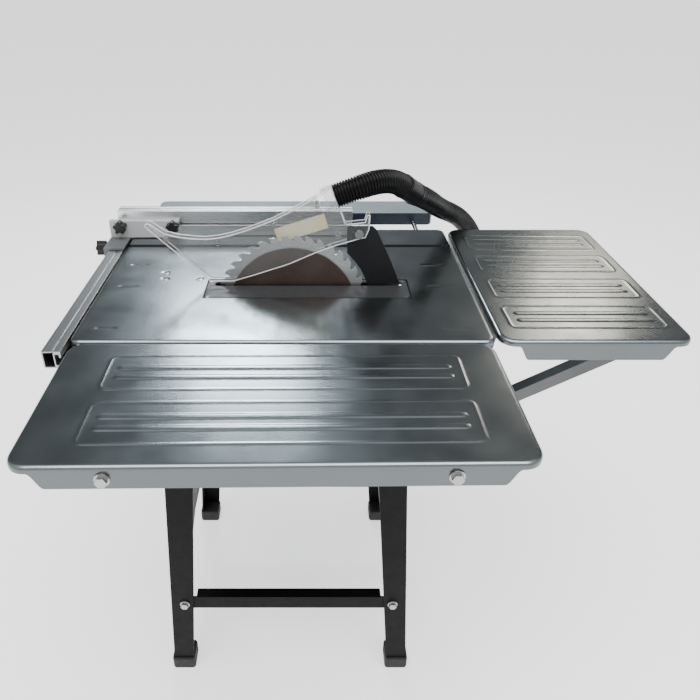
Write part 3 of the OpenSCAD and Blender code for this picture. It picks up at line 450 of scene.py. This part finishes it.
def smooth_route(points, step, first, last=None):
    """Evenly spaced places on a smooth curve (Catmull-Rom) between two of its given points."""
    knots = [Vector(p) for p in points]
    last = len(knots) - 1 if last is None else last
    knots = [2 * knots[0] - knots[1]] + knots + [2 * knots[-1] - knots[-2]]
    knots = knots[first:last + 3]
    dense = []
    for a, b, c, d in zip(knots, knots[1:], knots[2:], knots[3:]):
        for k in range(24):
            t = k / 24
            dense.append(
                0.5 * (2 * b + (c - a) * t + (2 * a - 5 * b + 4 * c - d) * t * t
                       + (3 * b - a - 3 * c + d) * t ** 3)
            )
    dense.append(knots[-2])
    lengths = [0.0]
    for p, q in zip(dense, dense[1:]):
        lengths.append(lengths[-1] + (q - p).length)
    count = max(2, round(lengths[-1] / step))
    route, k = [], 0
    for i in range(count + 1):
        goal = lengths[-1] * i / count
        while k < len(lengths) - 2 and lengths[k + 1] < goal:
            k += 1
        share = (goal - lengths[k]) / max(lengths[k + 1] - lengths[k], 1e-9)
        route.append(dense[k].lerp(dense[k + 1], min(share, 1)))
    return route


def swept_tube(name, route, radius_at, material, node, sides=28):
    """Tube along a route whose radius changes along its length; radius_at gets millimetres."""
    points, faces = [], []
    walked = 0.0
    side = Vector((1, -1, 0)).normalized()
    for k, centre in enumerate(route):
        ahead = route[min(k + 1, len(route) - 1)] - route[max(k - 1, 0)]
        along = ahead.normalized()
        side = (side - side.dot(along) * along).normalized()
        up = along.cross(side)
        if k:
            walked += (centre - route[k - 1]).length
        r = radius_at(walked)
        for j in range(sides):
            angle = 2 * math.pi * j / sides
            points.append(at(*(centre + r * (math.cos(angle) * side + math.sin(angle) * up))))
    for k in range(len(route) - 1):
        for j in range(sides):
            a, b = k * sides + j, k * sides + (j + 1) % sides
            faces.append((a, b, b + sides, a + sides))
    faces.append(tuple(range(sides))[::-1])
    faces.append(tuple(range(len(points) - sides, len(points))))
    return new_piece(name, points, faces, material, node)


def ribbed(pitch, depth):
    """Radius of a corrugated hose: narrow grooves between wide rounded ribs."""

    def radius(walked):
        groove = 0.5 - 0.5 * math.cos(2 * math.pi * walked / pitch)
        return HOSE_RADIUS - depth * groove ** 1.6
    return radius


def route_length(route):
    return sum((b - a).length for a, b in zip(route, route[1:]))


def make_hose():
    """Upper hose, cuff and lower hose, which meet end to end along one route."""
    upper_route = smooth_route(HOSE_ROUTE, 0.5, 0, CUFF_START)
    upper = swept_tube("hose_upper_ribbed", upper_route, ribbed(4.4, 2.6), HOSE, "hose_upper", 40)
    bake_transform(upper)

    cuff_route = smooth_route(HOSE_ROUTE, 1.0, CUFF_START, CUFF_END)
    cuff_length = route_length(cuff_route)

    def cuff_radius(walked):
        from_end = min(walked, cuff_length - walked)
        rim = 0.8 if 4 < from_end < 7 else 0.0
        rounding = 0.9 * max(0.0, 1 - from_end / 1.5)
        return HOSE_RADIUS + 0.2 - rounding + rim

    cuff = swept_tube("hose_cuff_sleeve", cuff_route, cuff_radius, CUFF, "hose_cuff")
    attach(cuff, "tilt_unit")

    lower_route = smooth_route(HOSE_ROUTE, 1.0, CUFF_END)
    lower = swept_tube("hose_lower_ribbed", lower_route, ribbed(5.0, 1.0), HOSE, "hose_lower")
    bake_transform(lower)


make_hose()

# ---- sheet-metal tables ----

# Places of the screws in the main table and in its insert
TABLE_SCREWS = [(-208, 45), (-206, 20), (-147, 20)]
INSERT_SCREWS = [(-126, -46.5), (-126, 11.5), (196, -46.5), (196, 11.5)]
# Rounding of a table's edge, and the depth of its rim where it has no skirt
RIM_RADIUS = 5.0
RIM_DEPTH = 9.0
SHEET_THICKNESS = 1.6
# Low and high side of the mitre channel along the main table, and its depth
MITRE_CHANNEL = (160, 172, 9)
# Gap all round between the insert and the main table
INSERT_GAP = 2.6


def spaced(low, high, step, extra):
    """Grid lines between two limits, with the extra ones put in."""
    count = max(1, round((high - low) / step))
    lines = [low + (high - low) * k / count for k in range(count + 1)]
    kept = [v for v in lines if all(abs(v - e) > step * 0.45 for e in extra)]
    return sorted(kept + list(extra))


def rounded_box_distance(x, y, box, radius):
    """Signed distance to the outline of a rounded rectangle, negative inside."""
    x0, x1, y0, y1 = box
    dx = abs(x - (x0 + x1) / 2) - (x1 - x0) / 2 + radius
    dy = abs(y - (y0 + y1) / 2) - (y1 - y0) / 2 + radius
    return math.hypot(max(dx, 0), max(dy, 0)) + min(max(dx, dy), 0) - radius


def ridge(distance, half_width, height):
    return height * math.exp(-((distance / half_width) ** 2))


def step_up(distance, half_width, height):
    """A plateau's edge: 0 outside it, the height inside, eased across twice the half width."""
    t = min(max(0.5 - distance / (2 * half_width), 0), 1)
    return height * t * t * (3 - 2 * t)


def pressed_relief(bands, dashes=(), dimples=()):
    """Height of the pressing at a point: plateaus with two long ribs each, and short dashes."""

    def height(x, y):
        z = 0.0
        for box, ribs in bands:
            d = rounded_box_distance(x, y, box, 9)
            if d < 6:
                z += step_up(d, 2.0, 0.2) + ridge(d, 1.3, 0.42)
            for rib in ribs:
                d = rounded_box_distance(x, y, rib, (rib[3] - rib[2]) / 2)
                if d < 6:
                    z += step_up(d, 1.8, 0.7)
        for cx, cy in dimples:
            d = math.hypot(x - cx, y - cy) - 5.8
            if d < 2:
                z -= step_up(d, 0.8, 1.0)
        for dash in dashes:
            d = rounded_box_distance(x, y, dash, 2.4)
            if d < 4:
                z -= step_up(d, 1.6, 0.9)
        return z

    return height


def relief_lines(bands):
    """Extra grid lines beside every edge of the bands and their ribs: along x, along y."""
    xs, ys = set(), set()
    for box, ribs in bands:
        for x0, x1, y0, y1 in [box] + ribs:
            for offset in (-1.8, -0.9, 0.0, 0.9, 1.8):
                xs.update((round(x0 + offset, 3), round(x1 + offset, 3)))
                ys.update((round(y0 + offset, 3), round(y1 + offset, 3)))
    return tuple(sorted(xs)), tuple(sorted(ys))


def corner_mapped(x, y, box, radius):
    """Moves a grid point in a corner square onto the quarter disc; others stay."""
    x0, x1, y0, y1 = box
    cx, cy = min(max(x, x0 + radius), x1 - radius), min(max(y, y0 + radius), y1 - radius)
    dx, dy = x - cx, y - cy
    if dx and dy:
        share = max(abs(dx), abs(dy)) / math.hypot(dx, dy)
        dx, dy = dx * share, dy * share
    return cx + dx, cy + dy, dx, dy


def skirt_depth(along, start, full):
    """Depth of a skirt at a distance from its corner: the rim, then an S-shaped step down."""
    t = min(max((along - start) / 16.0, 0), 1)
    return RIM_DEPTH + (full - RIM_DEPTH) * (t * t * (3 - 2 * t))


def border(last_x, last_y):
    """Grid places all round the edge of a table, in turn."""
    near = [(i, 0) for i in range(last_x)]
    right = [(last_x, j) for j in range(last_y)]
    far = [(i, last_y) for i in range(last_x, 0, -1)]
    left = [(0, j) for j in range(last_y, 0, -1)]
    return near + right + far + left


def rolled_rim(surface, skirt):
    """Steps out and heights from a table's edge over its rounded rim and down its skirt."""
    rows = []
    for k in range(1, 7):
        angle = math.radians(15 * k)
        rows.append((RIM_RADIUS * math.sin(angle), surface - RIM_RADIUS * (1 - math.cos(angle))))
    first = rows[-1][1]
    goal = max(skirt, 0.6 - first)
    return rows + [(RIM_RADIUS, first - (goal + first) * k / 5) for k in range(1, 6)]


def thicken(piece, painted_shade_faces):
    """Gives a sheet its thickness, with its cut edges dark, and the given faces dark as painted
    shade in a recess.
    """
    piece.data.materials.append(MECHANISM)
    for k in painted_shade_faces:
        piece.data.polygons[k].material_index = 1
    solid = piece.modifiers.new("thickness", "SOLIDIFY")
    solid.thickness = SHEET_THICKNESS / 1000
    solid.offset = -1
    solid.material_offset_rim = 1
    apply_modifiers(piece)
    piece.data.set_sharp_from_angle(angle=math.radians(50))


def pressed_table(name, node, box, depth, height, step, start, lines_x, lines_y,
                  corner=25.0, channel=None, hole=None, droop=None):
    """A sheet-metal table with a rolled rim and skirts, as one mesh with real thickness.

    depth is that of the skirts, and start is how far from the corners they begin.
    channel is (low y, high y, depth) of a slot along x. hole is the box of a cut-out.
    droop gives how far each place of the table hangs down.
    """
    inner = (box[0] + RIM_RADIUS, box[1] - RIM_RADIUS, box[2] + RIM_RADIUS, box[3] - RIM_RADIUS)
    radius = corner - RIM_RADIUS
    xs = spaced(inner[0], inner[1], step, lines_x)
    ys = spaced(inner[2], inner[3], step, lines_y)
    last_x = len(xs) - 1
    last_y = len(ys) - 1
    points, faces, index, channel_faces = [], [], {}, []

    def add(x, y, z):
        points.append(at(x, y, z - droop(x, y) if droop else z))
        return len(points) - 1

    def top_z(x, y):
        if channel and channel[0] <= y <= channel[1]:
            return -channel[2]
        return height(x, y)

    def outward(i, j, dx, dy):
        if not (dx and dy):
            dx = (i == last_x) - (i == 0)
            dy = (j == last_y) - (j == 0)
        reach = math.hypot(dx, dy)
        return dx / reach, dy / reach

    def from_corner(x, y, nx, ny):
        if abs(nx) > 0.999:
            return min(y - box[2], box[3] - y)
        if abs(ny) > 0.999:
            return min(x - box[0], box[1] - x)
        return -1.0

    for i, x in enumerate(xs):
        for j, y in enumerate(ys):
            px, py, dx, dy = corner_mapped(x, y, inner, radius)
            index[i, j] = add(px, py, top_z(px, py))
    for i in range(last_x):
        for j in range(last_y):
            mid = ((xs[i] + xs[i + 1]) / 2, (ys[j] + ys[j + 1]) / 2)
            if hole and hole[0] < mid[0] < hole[1] and hole[2] < mid[1] < hole[3]:
                continue
            # Painted shade: the mitre channel's faces take the dark mechanism paint, for the shade
            # down in the slot.
            if channel and channel[0] - 0.2 < mid[1] < channel[1] + 0.2:
                channel_faces.append(len(faces))
            faces.append((index[i, j], index[i + 1, j], index[i + 1, j + 1], index[i, j + 1]))

    columns = []
    for i, j in border(last_x, last_y):
        px, py, dx, dy = corner_mapped(xs[i], ys[j], inner, radius)
        nx, ny = outward(i, j, dx, dy)
        skirt = skirt_depth(from_corner(px, py, nx, ny), start, depth)
        rim = rolled_rim(top_z(px, py), skirt)
        columns.append([index[i, j]] + [add(px + nx * out, py + ny * out, z) for out, z in rim])
    for left, right in zip(columns, columns[1:] + columns[:1]):
        for k in range(len(left) - 1):
            faces.append((left[k], left[k + 1], right[k + 1], right[k]))

    piece = new_piece(name, points, faces, SHEET, node)
    thicken(piece, channel_faces)
    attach(piece, BODY_OF[node])


def ribbed_band(x0, x1, middle, half_width):
    """A band along x with a long rib either side of its middle."""
    ribs = [(x0 + 14, x1 - 14, middle + s * 11 - 4.5, middle + s * 11 + 4.5) for s in (-1, 1)]
    return (x0, x1, middle - half_width, middle + half_width), ribs


def table_box(node):
    """A node's outline in the saw's own coordinates: low x, high x, low y, high y."""
    low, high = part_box(node)
    low, high = low * 1000 - TABLE_IN_FRAME, high * 1000 - TABLE_IN_FRAME
    return low.x, high.x, low.y, high.y


WIDENING = table_box("right_extension")


def widening_droop(x, y):
    """The widening hangs a little at its near edge, most of all at the operator's end."""
    x0, x1, y0, y1 = WIDENING
    near = min(max((y1 - y) / (y1 - y0), 0), 1)
    along = min(max((x - x0) / (x1 - x0), 0), 1)
    return near * (8 - 7 * along)


def make_widening():
    """The table on the right, with two pressed bands along it."""
    bands = [ribbed_band(-230, 240, WIDENING[2] + offset, 39) for offset in (77, 182)]
    lines_x, lines_y = relief_lines(bands)
    pressed_table("right_extension_sheet", "right_extension", WIDENING, 31, pressed_relief(bands),
                  2.4, 27, lines_x, lines_y, droop=widening_droop)


def make_rear_extension():
    """The table behind the main one, with four pressed bands."""
    box = table_box("rear_extension")
    middle = (box[2] + box[3]) / 2
    bands = [ribbed_band(box[0] + 26, box[1] - 22, middle + k * 99, 34)
             for k in (-1.5, -0.5, 0.5, 1.5)]
    lines_x, lines_y = relief_lines(bands)
    pressed_table("rear_extension_sheet", "rear_extension", box, 31, pressed_relief(bands),
                  2.4, 27, lines_x, lines_y)


def make_main_table():
    """The main table, with its mitre channel, dashes, screw dimples and the insert's hole."""
    insert = table_box("table_insert")
    hole = (insert[0] - INSERT_GAP, insert[1] + INSERT_GAP,
            insert[2] - INSERT_GAP, insert[3] + INSERT_GAP)
    dashes = [(x, x + length, y - 2, y + 2)
              for x, length in ((-276, 30), (235, 41)) for y in (78, -8, -151)]
    offsets = (-6.6, -5.8, -5, -3, -1, 1, 3, 5, 5.8, 6.6)
    lines_x = tuple(sorted({x + k for x in (-207, -147) for k in offsets}))
    lines_y = tuple(sorted({y + k for y in (20, 45) for k in offsets}))
    channel_low, channel_high, _ = MITRE_CHANNEL
    channel_lines = (channel_low - 0.1, channel_low, channel_high, channel_high + 0.1)
    pressed_table("main_table_sheet", "main_table", table_box("main_table"), 30,
                  pressed_relief([], dashes, TABLE_SCREWS), 3.0, 8,
                  lines_x + hole[:2], lines_y + hole[2:] + channel_lines,
                  corner=14, channel=MITRE_CHANNEL, hole=hole)
    make_ledge(insert)


SCREW_SIDES = 24
# Rings of a screw head, from its flat top down: share of the radius, and depth below the top
SCREW_RINGS = ((0.55, 0.0), (0.9, 0.12), (1.0, 0.5), (0.5, 2.0))
# Half length and half width of the recess's bars, as shares of the radius
RECESS_BAR = (0.62, 0.17)
BOX_FACES = ((0, 3, 2, 1), (4, 5, 6, 7), (0, 1, 5, 4), (1, 2, 6, 5), (2, 3, 7, 6), (3, 0, 4, 7))


def screw_ring(centre, radius, z):
    turns = [math.tau * k / SCREW_SIDES for k in range(SCREW_SIDES)]
    return [at(centre[0] + radius * math.cos(t), centre[1] + radius * math.sin(t), z)
            for t in turns]


def make_screws():
    """Countersunk heads a little below the surface, each with a black cross on it: painted shade
    that stands for its crossed recess.
    """
    points, faces, recess_points, recess_faces = [], [], [], []
    screws = [(place, 4.6, -0.6) for place in TABLE_SCREWS]
    screws += [(place, 3.4, -0.1) for place in INSERT_SCREWS]
    for centre, radius, top in screws:
        first = len(points)
        for share, down in SCREW_RINGS:
            points += screw_ring(centre, radius * share, top - down)
        faces.append(tuple(range(first, first + SCREW_SIDES)))
        for row in range(len(SCREW_RINGS) - 1):
            a = first + SCREW_SIDES * row
            b = a + SCREW_SIDES
            faces += [(a + k, b + k, b + (k + 1) % SCREW_SIDES, a + (k + 1) % SCREW_SIDES)
                      for k in range(SCREW_SIDES)]
        faces.append(tuple(range(len(points) - SCREW_SIDES, len(points)))[::-1])
        for share_x, share_y in (RECESS_BAR, RECESS_BAR[::-1]):
            base = len(recess_points)
            dx = radius * share_x
            dy = radius * share_y
            for z in (top - 0.3, top + 0.04):
                recess_points += [at(centre[0] + sx * dx, centre[1] + sy * dy, z)
                                  for sx, sy in ((-1, -1), (1, -1), (1, 1), (-1, 1))]
            recess_faces += [tuple(base + i for i in face) for face in BOX_FACES]
    heads = new_piece("screw_heads", points, faces, ZINC, "countersunk_screws")
    heads.data.set_sharp_from_angle(angle=math.radians(35))
    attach(heads, BODY_OF["countersunk_screws"])
    # Painted shade: black crossed bars on each head, for the shade in its recess.
    recess_shade = new_piece("screw_recess_shade", recess_points, recess_faces, BLACK_PAINT, None, False)
    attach(recess_shade, BODY_OF["countersunk_screws"])


LEDGE_TOP = -3.1
LEDGE_BOTTOM = -5.0


def make_ledge(insert):
    """Ledge that the insert lies on, painted black as painted shade in the gap round the insert,
    where it shows as a dark line.
    """
    outer = (insert[0] - 5, insert[1] + 5, insert[2] - 5, insert[3] + 5)
    inner = (insert[0] + 8, insert[1] - 8, insert[2] + 8, insert[3] - 8)
    points = []
    for z in (LEDGE_TOP, LEDGE_BOTTOM):
        for x0, x1, y0, y1 in (outer, inner):
            points += [at(x0, y0, z), at(x1, y0, z), at(x1, y1, z), at(x0, y1, z)]
    faces = []
    for k in range(4):
        n = (k + 1) % 4
        faces += [(k, n, 4 + n, 4 + k), (8 + k, 12 + k, 12 + n, 8 + n),
                  (k, 8 + k, 8 + n, n), (4 + k, 4 + n, 12 + n, 12 + k)]
    # Painted shade: the ledge is black to stand for the shade down in the gap.
    ledge = new_piece("insert_ledge", points, faces, BLACK_PAINT, "main_table", smooth=False)
    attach(ledge, BODY_OF["main_table"])


make_widening()
make_rear_extension()
make_main_table()
make_screws()

# ---- rounded copies of CAD nodes ----

# Width of each copy's rounded edges
SOFT_EDGES = {
    "support_bar": 1.6, "fence_bracket": 1.5, "fence_carriage": 1.5, "fence_profile": 0.5,
    "front_rail": 0.5, "housing": 2.0, "switch_box": 3.0, "rubber_feet": 3.0,
    "guard_label": 0.15, "front_right_leg": 0.8, "rear_right_leg": 0.8, "front_left_leg": 0.8,
    "rear_left_leg": 0.8, "lower_braces": 0.6, "upper_braces": 0.6, "table_insert": 0.5,
    "riving_knife": 0.4, "fence_front_knob": 0.8, "fence_rear_knob": 0.8,
    "fence_clamp_knob": 0.8, "tilt_lock_knob": 1.0, "rail_brackets": 1.0, "power_inlet": 1.5,
    "start_button": 1.2, "stop_button": 1.2, "motor_housing": 1.5, "gear_case": 1.2,
    "hex_bolts": 0.5,
}
soft_copies = {node: softened(node, width) for node, width in SOFT_EDGES.items()}


def lower_skirt_bolts(bolts):
    """Moves the bolts in the widening's near skirt with its droop, and 5 mm along it."""
    for vertex in bolts.data.vertices:
        spot = vertex.co * 1000 - TABLE_IN_FRAME
        if spot.y < WIDENING[2] + 20:
            spot += Vector((5, 0, -widening_droop(spot.x, spot.y)))
            vertex.co = at(*spot)


lower_skirt_bolts(soft_copies["hex_bolts"])

# ---- painted highlights along the edges of the clear guard ----

# Outline of the clear panels, x and z, from the low front corner over the top to the rear
GUARD_EDGE = [
    (-125, 8.5), (-221, 102), (-220, 106), (-215, 107), (-192, 90), (-173, 85), (-150, 82),
    (-128, 81), (-108, 83), (-86, 88), (-64, 95), (-40, 104), (-18, 113), (22, 134), (60, 156),
    (71, 165), (94, 108), (97, 106), (126, 109), (129, 121), (133, 121), (132, 98), (127, 84),
    (120, 83), (78, 70), (47, 58), (3, 38), (-50, 20), (-87, 8.5),
]
GUARD_EDGE_RADIUS = 0.95
GUARD_EDGE_STEP = 4
# Distance of the painted highlight rims from the plane of the blade
GUARD_EDGE_OFFSET = 6.9


def make_guard_edge_highlights():
    """Thin near-white, nearly opaque tubes along the outline of both clear panels: painted
    highlights on the panels' edges.
    """
    outline = GUARD_EDGE + GUARD_EDGE[:1]
    for side, y in (("right", -GUARD_EDGE_OFFSET), ("left", GUARD_EDGE_OFFSET)):
        route = []
        for (xa, za), (xb, zb) in zip(outline, outline[1:]):
            steps = max(1, round(math.hypot(xb - xa, zb - za) / GUARD_EDGE_STEP))
            route += [Vector((xa + (xb - xa) * k / steps, y, za + (zb - za) * k / steps))
                      for k in range(steps)]
        route.append(Vector((outline[0][0], y, outline[0][1])))
        edge = swept_tube("guard_edge_highlight_" + side, route, lambda walked: GUARD_EDGE_RADIUS,
                          PAINTED_EDGE_HIGHLIGHT, None, 8)
        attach(edge, "guard")


make_guard_edge_highlights()

# ---- floor and light ----


def make_floor():
    mesh = bpy.data.meshes.new("floor")
    size = 40.0
    mesh.from_pydata(
        [(-size, -size, 0), (size, -size, 0), (size, size, 0), (-size, size, 0)], [],
        [(0, 1, 2, 3)],
    )
    floor = bpy.data.objects.new("floor", mesh)
    bpy.context.scene.collection.objects.link(floor)
    n = Nodes("floor_paint")
    shade = n.blend(n.noise(1.5, 3), grey(0.90), grey(0.93))
    n.set(color=shade, roughness=0.9, specular=0.1)
    n.shader.inputs["Emission Color"].default_value = grey(1.0)
    n.shader.inputs["Emission Strength"].default_value = 1.0
    dress(floor, n.material)


def area_light(name, place, target, size, power, color=(1, 1, 1)):
    data = bpy.data.lights.new(name, "AREA")
    data.shape = "RECTANGLE"
    data.size, data.size_y = size
    data.energy = power
    data.color = color
    light = bpy.data.objects.new(name, data)
    light.location = place
    aim = Vector(target) - Vector(place)
    light.rotation_euler = aim.to_track_quat("-Z", "Y").to_euler()
    bpy.context.scene.collection.objects.link(light)


def make_world():
    """Pale all round, with a dim stretch of ceiling behind the saw that darkens its tables."""
    world = bpy.data.worlds.new("world")
    world.use_nodes = True
    tree = world.node_tree
    new, link = tree.nodes.new, tree.links.new
    split = new("ShaderNodeSeparateXYZ")
    link(new("ShaderNodeTexCoord").outputs["Generated"], split.inputs[0])
    band = new("ShaderNodeValToRGB")
    link(split.outputs["Z"], band.inputs["Fac"])
    elements = band.color_ramp.elements
    stops = ((0.0, 1.0), (0.04, 1.0), (0.14, 0.2), (0.68, 0.14), (0.85, 0.5), (1.0, 0.9))
    while len(elements) < len(stops):
        elements.new(0.5)
    for element, (position, value) in zip(elements, stops):
        element.position = position
        element.color = (value * 0.95, value * 0.985, value, 1)
    behind = new("ShaderNodeMapRange")
    link(split.outputs["Y"], behind.inputs["Value"])
    behind.inputs["From Min"].default_value = -0.1
    behind.inputs["From Max"].default_value = 0.45
    mix = new("ShaderNodeMix")
    mix.data_type = "RGBA"
    link(behind.outputs["Result"], mix.inputs[0])
    mix.inputs[6].default_value = grey(0.7)
    link(band.outputs["Color"], mix.inputs[7])
    background = tree.nodes["Background"]
    link(mix.outputs[2], background.inputs["Color"])
    background.inputs["Strength"].default_value = 1.2
    bpy.context.scene.world = world


def make_light():
    make_world()
    area_light("overhead", (0.0, -1.2, 4.2), (0, 0, 0.6), (4.0, 3.0), 200)
    area_light("window_left", (-0.5, 2.5, 2.4), (-0.1, -0.2, 0.75), (0.7, 0.5), 34, (0.88, 0.96, 1))
    area_light("window_right", (1.5, 2.5, 2.15), (0.4, 0, 0.75), (0.5, 0.45), 7, (1, 0.88, 0.74))
    area_light("front_fill", (0.0, -4.5, 1.6), (0, 0, 0.6), (4.0, 2.4), 6)


make_floor()
make_light()
